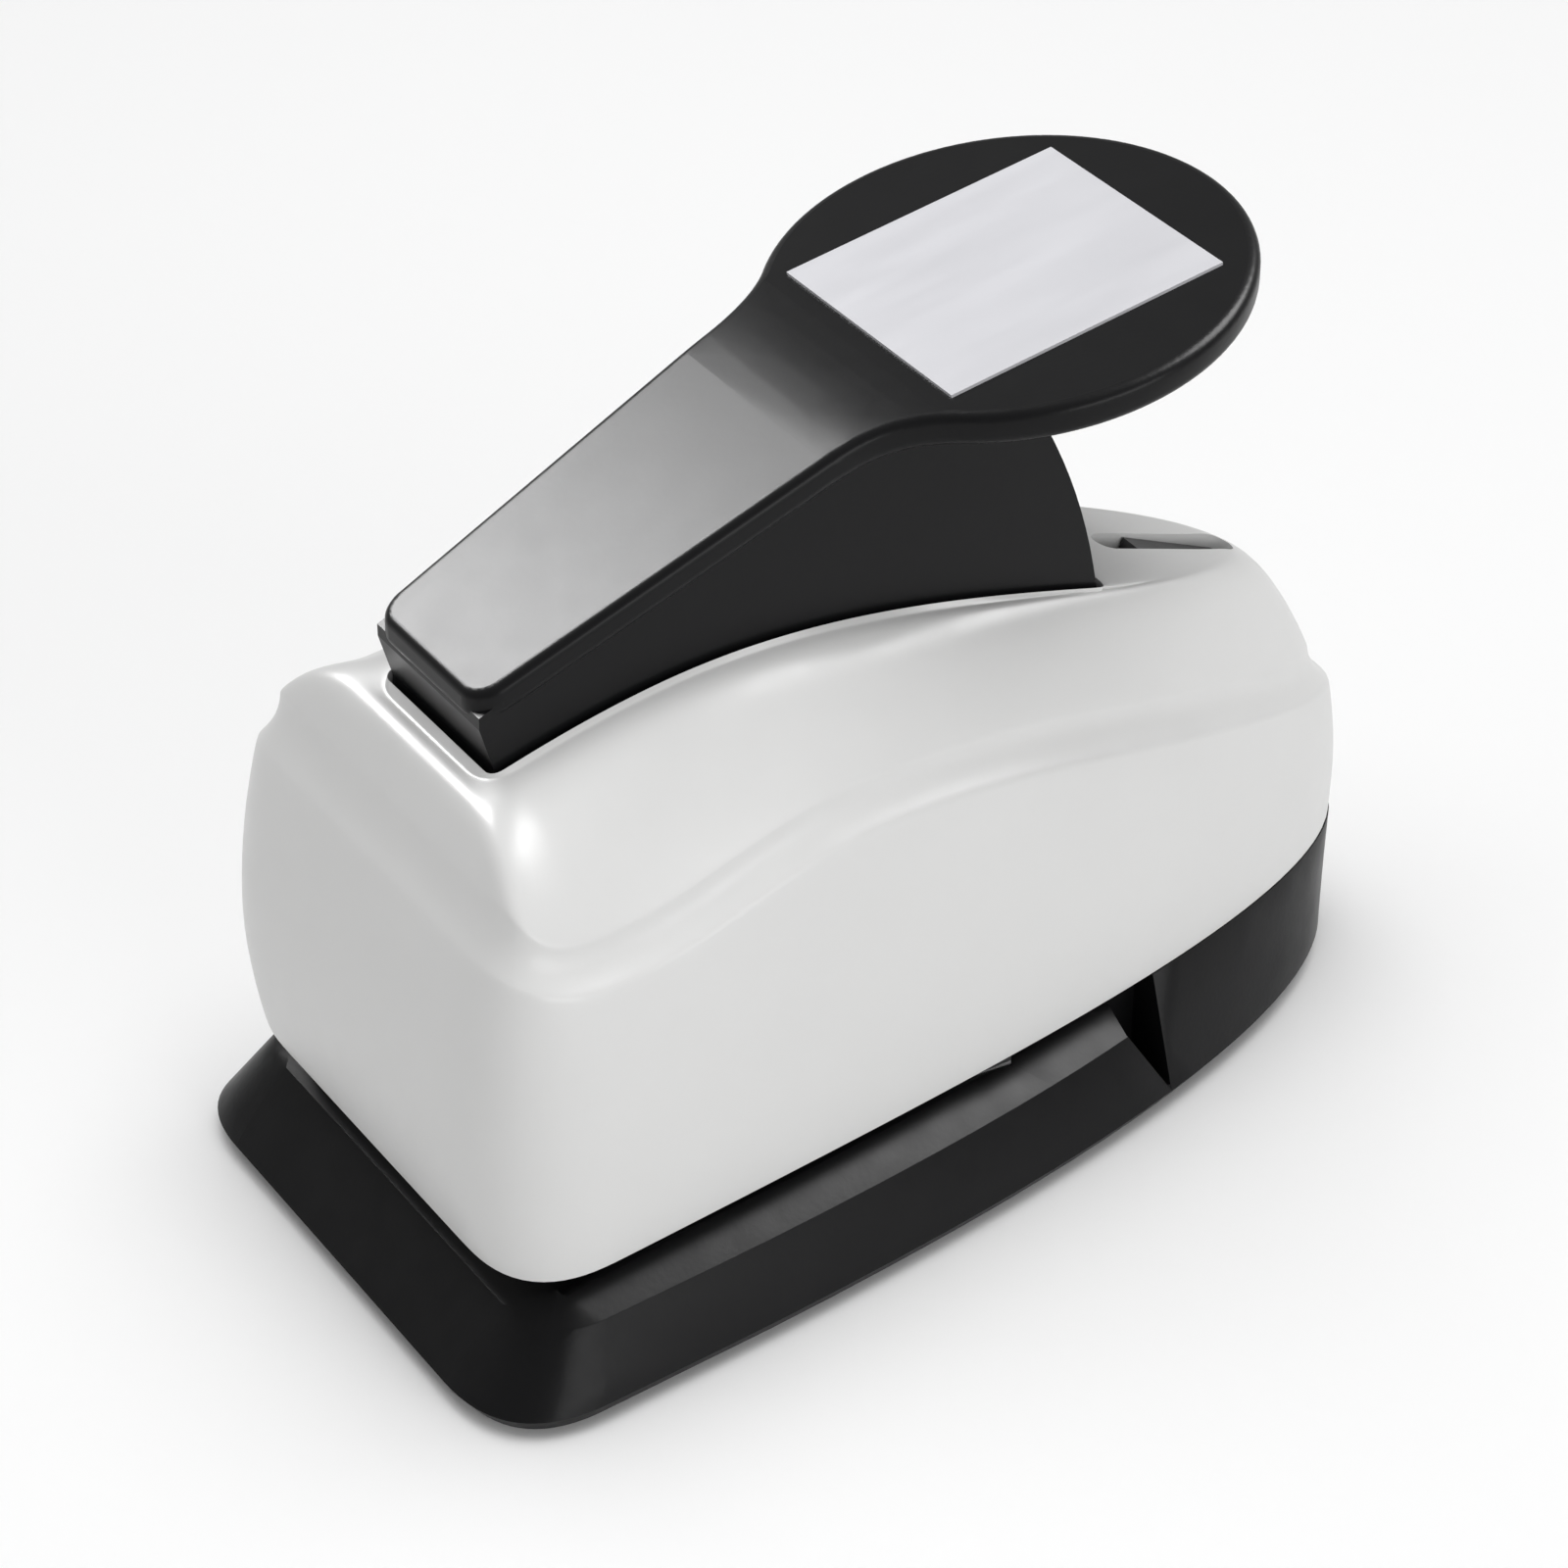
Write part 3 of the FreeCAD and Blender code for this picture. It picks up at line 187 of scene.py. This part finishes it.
def outline(width_at, front, tip, corner):
    """Plan outline as (x, y, nx, ny) from the middle of the front, up the right side and down the left."""
    start = front + corner
    x0 = width_at(start)
    slope = (width_at(start + 0.01) - width_at(start - 0.01)) / 0.02
    knee = (x0 - slope * corner, front)
    toe = (knee[0] - corner, front)
    bend = []
    for i in range(41):
        t = i / 40
        bend.append(tuple((1 - t) ** 2 * a + 2 * t * (1 - t) * b + t * t * c
                          for a, b, c in zip(toe, knee, (x0, start))))
    side = []
    for i in range(401):
        y = tip - (tip - start) * (1 - i / 400) ** 2
        side.append((width_at(y), y))
    half = along([(0.0, front), toe], [i / FRONT_STEPS for i in range(FRONT_STEPS)])
    half += along(bend, [i / CORNER_STEPS for i in range(CORNER_STEPS)])
    half += along(side, [i / SIDE_STEPS for i in range(SIDE_STEPS)])
    top = (0.0, tip, 0.0, 1.0)
    return half + [top] + [(-x, y, -nx, ny) for x, y, nx, ny in reversed(half[1:])]


def mouth():
    """The lever's opening with the same count and order of points."""
    inner = MOUTH_HALF - MOUTH_CORNER
    half = [(i * inner / FRONT_STEPS, MOUTH_FRONT) for i in range(FRONT_STEPS)]
    for i in range(CORNER_STEPS):
        turn = math.pi / 2 * i / CORNER_STEPS
        half.append((inner + MOUTH_CORNER * math.sin(turn),
                     MOUTH_FRONT + MOUTH_CORNER * (1 - math.cos(turn))))
    reach = MOUTH_BACK - MOUTH_FRONT - 2 * MOUTH_CORNER
    for i in range(MOUTH_SIDE_STEPS):
        half.append((MOUTH_HALF, MOUTH_FRONT + MOUTH_CORNER + reach * i / (MOUTH_SIDE_STEPS - 1)))
    for i in range(1, MOUTH_TURN_STEPS + 1):
        turn = math.pi / 2 * i / MOUTH_TURN_STEPS
        half.append((inner + MOUTH_CORNER * math.cos(turn),
                     MOUTH_BACK - MOUTH_CORNER * (1 - math.sin(turn))))
    rest = SIDE_STEPS - MOUTH_SIDE_STEPS - MOUTH_TURN_STEPS
    for i in range(1, rest + 1):
        half.append((inner * (1 - i / (rest + 1)), MOUTH_BACK))
    return half + [(0.0, MOUTH_BACK)] + [(-x, y) for x, y in reversed(half[1:])]


def shell_loops(thin):
    """Level loops of the housing's skin from its foot to the opening; thin above zero is the inner skin."""
    plan = outline(shell_half, SHELL_FRONT, SHELL_TIP, SHELL_CORNER)
    rim = outline(roof_half, ROOF_FRONT, ROOF_TIP, ROOF_CORNER)
    hole = mouth()

    def offset(i, inset, z):
        x, y, nx, ny = plan[i]
        return Vector((x - nx * inset, y - ny * inset, z))

    def wall(i, share):
        barrel = WALL_BARREL * (1 - (max(plan[i][1], 0) / SHELL_TIP) ** 2)
        swell = barrel * (1 - (1 - min(share / BARREL_SHARE, 1)) ** 2)
        lean = (WALL_LEAN + barrel) * (max(share - LEAN_FROM, 0) / (1 - LEAN_FROM)) ** 2
        top = crease_height(plan[i][1]) - thin * CEILING_THIN
        return offset(i, thin - swell + lean, SHELL_Z + (top - SHELL_Z) * share)

    def bevel(i, share):
        cove = 0.0 if thin else BEVEL_COVE * math.sin(math.pi * share)
        inset = thin + WALL_LEAN + BEVEL_IN * share + cove
        rise = BEVEL_RISE + FRONT_RISE * max(-plan[i][3], 0) ** 2
        return offset(i, inset, crease_height(plan[i][1]) - thin * CEILING_THIN + rise * share)

    def crown(i, share):
        low = bevel(i, 1)
        high = Vector((rim[i][0], rim[i][1], roof_height(rim[i][1]) - thin))
        flat = low + (high - low) * share
        power = CROWN_POWER + (CROWN_POWER_FRONT - CROWN_POWER) * max(-plan[i][3], 0)
        return Vector((flat.x, flat.y, low.z + (high.z - low.z) * (1 - (1 - share) ** power)))

    def roof(i, share):
        x = rim[i][0] + (hole[i][0] - rim[i][0]) * share
        y = rim[i][1] + (hole[i][1] - rim[i][1]) * share
        return Vector((x, y, roof_height(y) - thin + ROOF_CROWN * share))

    if thin:
        levels = [(roof, 1), (roof, 0.5), (crown, 1), (crown, 0.65), (crown, 0.3), (bevel, 1), (wall, 1),
                  (wall, 0.75), (wall, 0.45), (wall, 0.2), (wall, 0.02), (wall, 0)]
    else:
        levels = [(wall, 0), (wall, 0.012), (wall, 0.1), (wall, 0.22), (wall, 0.34), (wall, 0.46),
                  (wall, 0.58), (wall, 0.7), (wall, 0.82), (wall, 0.93), (wall, 0.993), (bevel, 0.03),
                  (bevel, 0.2), (bevel, 0.5), (bevel, 0.8), (bevel, 0.97), (crown, 0.012), (crown, 0.1),
                  (crown, 0.25), (crown, 0.4), (crown, 0.56), (crown, 0.7), (crown, 0.84), (crown, 0.96),
                  (roof, 0.08), (roof, 0.3), (roof, 0.55), (roof, 0.8), (roof, 0.97), (roof, 1)]
    return [[shape(i, share) for i in range(len(plan))] for shape, share in levels]


# ---------------------------------------------------------------- mesh helpers

def link(name, mesh):
    made = bpy.data.objects.new(name, mesh)
    bpy.context.scene.collection.objects.link(made)
    return made


def mesh_of(name, points, faces):
    mesh = bpy.data.meshes.new(name)
    mesh.from_pydata([Vector(p) * MM for p in points], [], faces)
    mesh.update()
    return mesh


def ring_faces(rings, count, closed):
    """Quads between neighbouring rings of count points; closed joins the last ring to the first."""
    faces = []
    for r in range(rings if closed else rings - 1):
        low = r * count
        high = (r + 1) % rings * count
        for i in range(count):
            j = (i + 1) % count
            faces.append((low + i, low + j, high + j, high + i))
    return faces


def baked(thing):
    """Applies the modifiers, so the piece's mesh is its final shape."""
    shape = bpy.data.meshes.new_from_object(thing.evaluated_get(bpy.context.evaluated_depsgraph_get()))
    thing.modifiers.clear()
    thing.data = shape
    return thing


def smooth(thing, degrees):
    for face in thing.data.polygons:
        face.use_smooth = True
    edges = bmesh.new()
    edges.from_mesh(thing.data)
    for edge in edges.edges:
        edge.smooth = not (len(edge.link_faces) == 2 and edge.calc_face_angle(0) > math.radians(degrees))
    edges.to_mesh(thing.data)
    edges.free()


def prism(name, ring, low, high):
    """A closed upright prism on a plan ring of (x, y)."""
    count = len(ring)
    points = [(x, y, low) for x, y in ring] + [(x, y, high) for x, y in ring]
    faces = ring_faces(2, count, False)
    faces.append(tuple(reversed(range(count))))
    faces.append(tuple(range(count, 2 * count)))
    return link(name, mesh_of(name, points, faces))


def circle(x, y, radius, count=40):
    return [(x + radius * math.cos(math.tau * i / count), y + radius * math.sin(math.tau * i / count))
            for i in range(count)]


def slot_ring():
    """Outline of the lock's slot, round at both ends."""
    ring = []
    radius = SLOT_HALF
    for i in range(SLOT_ARC_STEPS + 1):
        turn = math.pi * i / SLOT_ARC_STEPS
        ring.append((radius * math.cos(turn), SLOT_BACK - radius + radius * math.sin(turn)))
    for i in range(SLOT_ARC_STEPS + 1):
        turn = math.pi * (1 + i / SLOT_ARC_STEPS)
        ring.append((radius * math.cos(turn), SLOT_FRONT + radius + radius * math.sin(turn)))
    return ring


def boolean(thing, tool, kind):
    change = thing.modifiers.new("join", "BOOLEAN")
    change.operation = kind
    change.object = tool
    change.solver = "EXACT"
    baked(thing)
    bpy.data.objects.remove(tool)


def tilt(thing):
    """Sets a piece in the sloping frame of the lock."""
    thing.matrix_world = (Matrix.Translation(Vector((0, LOCK_Y, roof_height(LOCK_Y))) * MM)
                          @ Matrix.Rotation(-LOCK_ANGLE, 4, "X"))
    bpy.context.view_layer.update()


def make_housing():
    """The shell as one closed skin, with its screw bosses and the slot of the lock."""
    loops = shell_loops(0.0) + shell_loops(SHELL_WALL)
    count = len(loops[0])
    points = [p for loop in loops for p in loop]
    thing = link("housing_shell", mesh_of("housing_shell", points, ring_faces(len(loops), count, True)))
    rounding = thing.modifiers.new("rounding", "SUBSURF")
    rounding.levels = 1
    rounding.render_levels = 1
    baked(thing)
    for x, y in BOSS_PLACES:
        for side in (-1, 1):
            boolean(thing, prism("boss", circle(side * x, y, BOSS_RADIUS), SHELL_Z, BOSS_TOP), "UNION")
            boolean(thing, prism("pilot", circle(side * x, y, PILOT_RADIUS, 24), SHELL_Z - 1, BOSS_TOP - 1),
                    "DIFFERENCE")
    gap = prism("lock_gap", slot_ring(), -SLOT_REACH, SLOT_REACH)
    tilt(gap)
    boolean(thing, gap, "DIFFERENCE")
    smooth(thing, 35)
    return thing


def make_spring():
    """The coil that carries the cutter up again; the real coil shortens by the cutter's stroke, but this one
    is drawn at one fixed length.
    """
    steps = SPRING_STEPS * SPRING_TURNS
    rise = SPRING_HIGH - SPRING_LOW - 2 * SPRING_WIRE
    points = []
    for k in range(steps + 1):
        turn = math.tau * SPRING_TURNS * k / steps
        height = SPRING_LOW + SPRING_WIRE + rise * k / steps
        for i in range(WIRE_STEPS):
            spin = math.tau * i / WIRE_STEPS
            reach = SPRING_RADIUS + SPRING_WIRE * math.cos(spin)
            points.append((reach * math.cos(turn), SPRING_Y + reach * math.sin(turn),
                           height - SPRING_WIRE * math.sin(spin)))
    faces = ring_faces(steps + 1, WIRE_STEPS, False)
    faces.append(tuple(reversed(range(WIRE_STEPS))))
    faces.append(tuple(range(steps * WIRE_STEPS, (steps + 1) * WIRE_STEPS)))
    thing = link("spring_coil", mesh_of("spring_coil", points, faces))
    thing.data.materials.append(MATERIALS["spring_steel"])
    smooth(thing, 50)
    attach(thing, "punch_body")
    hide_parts("return_spring")
    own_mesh(thing)


# ---------------------------------------------------------------- materials

def new_material(name):
    made = bpy.data.materials.new(name)
    made.use_nodes = True
    return made, made.node_tree.nodes, made.node_tree.links


def noise(nodes, links, scale, detail=2.0, stretch=None):
    """A noise pattern in object space, in metres; stretch scales its axes."""
    place = nodes.new("ShaderNodeTexCoord")
    out = place.outputs["Object"]
    if stretch:
        map_ = nodes.new("ShaderNodeMapping")
        map_.inputs["Scale"].default_value = stretch
        links.new(out, map_.inputs["Vector"])
        out = map_.outputs["Vector"]
    texture = nodes.new("ShaderNodeTexNoise")
    texture.inputs["Scale"].default_value = scale
    texture.inputs["Detail"].default_value = detail
    links.new(out, texture.inputs["Vector"])
    return texture.outputs["Fac"]


def spread(nodes, links, value, low, high):
    """Maps the middle of a noise pattern to low..high."""
    ramp = nodes.new("ShaderNodeMapRange")
    ramp.inputs["From Min"].default_value = 0.3
    ramp.inputs["From Max"].default_value = 0.7
    ramp.inputs["To Min"].default_value = low
    ramp.inputs["To Max"].default_value = high
    links.new(value, ramp.inputs["Value"])
    return ramp.outputs["Result"]


def blend_colors(nodes, links, value, first, second):
    mix = nodes.new("ShaderNodeMix")
    mix.data_type = "RGBA"
    mix.inputs[6].default_value = (*first, 1)
    mix.inputs[7].default_value = (*second, 1)
    links.new(value, mix.inputs[0])
    return mix.outputs[2]


def finish_of(name, color, tint, rough, metallic=0.0, grain=2500.0, bump=0.05, patch=60.0, stretch=None,
              specular=0.5, depth=0.00004):
    """A material: patchy colour, uneven roughness and a fine grain, with the named strengths."""
    made, nodes, links = new_material(name)
    shader = nodes["Principled BSDF"]
    shader.inputs["Metallic"].default_value = metallic
    shader.inputs["Specular IOR Level"].default_value = specular
    patches = noise(nodes, links, patch, 3.0)
    links.new(blend_colors(nodes, links, patches, color, tint), shader.inputs["Base Color"])
    uneven = noise(nodes, links, patch * 5, 4.0, stretch)
    links.new(spread(nodes, links, uneven, *rough), shader.inputs["Roughness"])
    fine = noise(nodes, links, grain, 2.0, stretch)
    relief = nodes.new("ShaderNodeBump")
    relief.inputs["Strength"].default_value = bump
    relief.inputs["Distance"].default_value = depth
    links.new(fine, relief.inputs["Height"])
    links.new(relief.outputs["Normal"], shader.inputs["Normal"])
    return made


MATERIALS = {
    "black_plastic": finish_of("black_plastic", (0.004, 0.004, 0.0045), (0.007, 0.007, 0.0075), (0.32, 0.38),
                               bump=0.25, grain=1800, specular=0.15),
    "lever_plastic": finish_of("lever_plastic", (0.004, 0.004, 0.0045), (0.007, 0.007, 0.0075), (0.31, 0.33),
                               bump=0.12, grain=1600, specular=0.16),
    "white_plastic": finish_of("white_plastic", (0.66, 0.66, 0.655), (0.69, 0.69, 0.685), (0.30, 0.38),
                               bump=0.08, grain=1500, specular=0.4),
    "black_acetal": finish_of("black_acetal", (0.012, 0.012, 0.013), (0.018, 0.018, 0.019), (0.30, 0.40)),
    "white_nylon": finish_of("white_nylon", (0.66, 0.65, 0.61), (0.72, 0.71, 0.67), (0.36, 0.48), bump=0.1),
    "tool_steel": finish_of("tool_steel", (0.42, 0.42, 0.43), (0.50, 0.50, 0.51), (0.22, 0.38), 1.0,
                            grain=900, bump=0.3, stretch=(1, 0.08, 1)),
    "plated_steel": finish_of("plated_steel", (0.56, 0.57, 0.58), (0.64, 0.64, 0.63), (0.25, 0.40), 1.0,
                              grain=1400, bump=0.2),
    "spring_steel": finish_of("spring_steel", (0.36, 0.36, 0.37), (0.44, 0.43, 0.42), (0.25, 0.36), 1.0,
                              grain=1400, bump=0.2),
    "zinc_casting": finish_of("zinc_casting", (0.44, 0.45, 0.46), (0.52, 0.52, 0.52), (0.42, 0.58), 1.0,
                              grain=700, bump=0.5),
    "silver_label": finish_of("silver_label", (0.62, 0.62, 0.65), (0.67, 0.67, 0.70), (0.34, 0.42), 0.15,
                              grain=2600, bump=0.08, stretch=(1, 0.05, 1)),
}

SLOTS = {
    "black_plastic": ["base", "bottom_cover"],
    "lever_plastic": ["lever"],
    "white_plastic": ["housing"],
    "black_acetal": ["corner_fence", "plunger_cap", "lock_slider"],
    "white_nylon": ["pivot_washers"],
    "tool_steel": ["die_plate", "dowel_pins", "corner_cutter", "pivot_pin", "push_pin"],
    "plated_steel": ["cover_screws", "die_screws", "cap_screw", "spring_seat", "lever_bracket",
                     "bracket_screws", "housing_screws", "lock_guide", "lock_screws"],
    "spring_steel": ["return_spring", "pivot_clips"],
    "zinc_casting": ["guide_block"],
    "silver_label": ["label_plate"],
}


def soften(thing, width, segments=3, degrees=24):
    """Rounds a CAD node's edges for the picture, as the moulded part has them."""
    weld = thing.modifiers.new("weld", "WELD")
    weld.merge_threshold = 0.000002
    flat = thing.modifiers.new("flat", "DECIMATE")
    flat.decimate_type = "DISSOLVE"
    flat.angle_limit = math.radians(0.6)
    edge = thing.modifiers.new("edge", "BEVEL")
    edge.limit_method = "ANGLE"
    edge.angle_limit = math.radians(degrees)
    edge.width = width * MM
    edge.segments = segments
    edge.miter_outer = "MITER_ARC"


def dress_nodes():
    for slot, names in SLOTS.items():
        for name in names:
            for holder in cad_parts[name].material_slots:
                holder.material = MATERIALS[slot]


# ---------------------------------------------------------------- floor, lights and camera

FLOOR_HALF = 1.5
FLOOR_DROP = -0.03
LIGHTS = (
    # name, direction from the object, distance, width, height, power in watts, lights matt, seen in gloss
    ("lever_soft_box", (-0.69, -0.22, 0.72), 0.55, 0.12, 0.26, 5.2, False, True),
    ("ceiling", (-0.05, 0.05, 1.00), 1.0, 1.0, 1.0, 8.0, True, False),
    ("shelf_strip", (0.08, 0.66, 0.72), 0.9, 0.55, 0.5, 13.0, False, True),
    ("right_panel", (1.0, 0.15, 0.22), 1.1, 0.8, 0.4, 4.0, True, True),
    ("front_panel", (-0.30, -1.0, 1.00), 1.1, 0.6, 0.4, 0.5, True, False),
)


def make_floor():
    ring = [(-1, -1), (1, -1), (1, 1), (-1, 1)]
    span = FLOOR_HALF / MM
    mesh = mesh_of("floor", [(x * span, y * span, FLOOR_DROP) for x, y in ring], [(0, 1, 2, 3)])
    floor = link("floor", mesh)
    mesh.materials.append(finish_of("floor_paper", (0.94, 0.94, 0.94), (0.95, 0.95, 0.95), (0.75, 0.85),
                                    grain=900, bump=0.02, patch=6.0, specular=0.1))


def make_lights():
    centre = (cad_low + cad_high) / 2
    for name, direction, distance, width, height, power, matt, gloss in LIGHTS:
        lamp = bpy.data.lights.new(name, "AREA")
        lamp.shape = "RECTANGLE"
        lamp.size = width
        lamp.size_y = height
        lamp.energy = power
        holder = bpy.data.objects.new(name, lamp)
        way = Vector(direction).normalized()
        holder.location = centre + way * distance
        holder.visible_diffuse = matt
        holder.visible_glossy = gloss
        holder.rotation_mode = "QUATERNION"
        holder.rotation_quaternion = way.to_track_quat("Z", "Y")
        bpy.context.scene.collection.objects.link(holder)
    world = bpy.data.worlds.new("studio")
    world.use_nodes = True
    world.node_tree.nodes["Background"].inputs["Color"].default_value = (1.0, 1.0, 1.0, 1)
    world.node_tree.nodes["Background"].inputs["Strength"].default_value = 0.36
    bpy.context.scene.world = world


CAMERA_PLACE = Vector((0.3060, -0.2074, 0.2900))
CAMERA_AZIMUTH = math.radians(56.84)
CAMERA_ELEVATION = math.radians(34.75)
CAMERA_ROLL = math.radians(0.28)
CAMERA_LENS = 112.5


def make_camera():
    camera = bpy.data.cameras.new("camera")
    camera.lens = CAMERA_LENS
    camera.sensor_width = 36.0
    camera.clip_start = 0.01
    camera.clip_end = 10.0
    holder = bpy.data.objects.new("camera", camera)
    back = Vector((math.sin(CAMERA_AZIMUTH) * math.cos(CAMERA_ELEVATION),
                   -math.cos(CAMERA_AZIMUTH) * math.cos(CAMERA_ELEVATION), math.sin(CAMERA_ELEVATION)))
    level = Vector((math.cos(CAMERA_AZIMUTH), math.sin(CAMERA_AZIMUTH), 0.0))
    upright = back.cross(level)
    right = level * math.cos(CAMERA_ROLL) + upright * math.sin(CAMERA_ROLL)
    up = back.cross(right)
    turn = Matrix((right, up, back)).transposed().to_4x4()
    holder.matrix_world = Matrix.Translation(CAMERA_PLACE) @ turn
    bpy.context.scene.collection.objects.link(holder)
    bpy.context.scene.camera = holder


# ---------------------------------------------------------------- build

dress_nodes()
soften(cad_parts["base"], 0.9)
soften(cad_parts["lever"], 0.3)
housing = make_housing()
housing.data.materials.clear()
housing.data.materials.append(MATERIALS["white_plastic"])
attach(housing, "punch_body")
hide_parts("housing")
make_spring()
make_floor()
make_lights()
make_camera()
bpy.context.scene.view_settings.view_transform = "Standard"
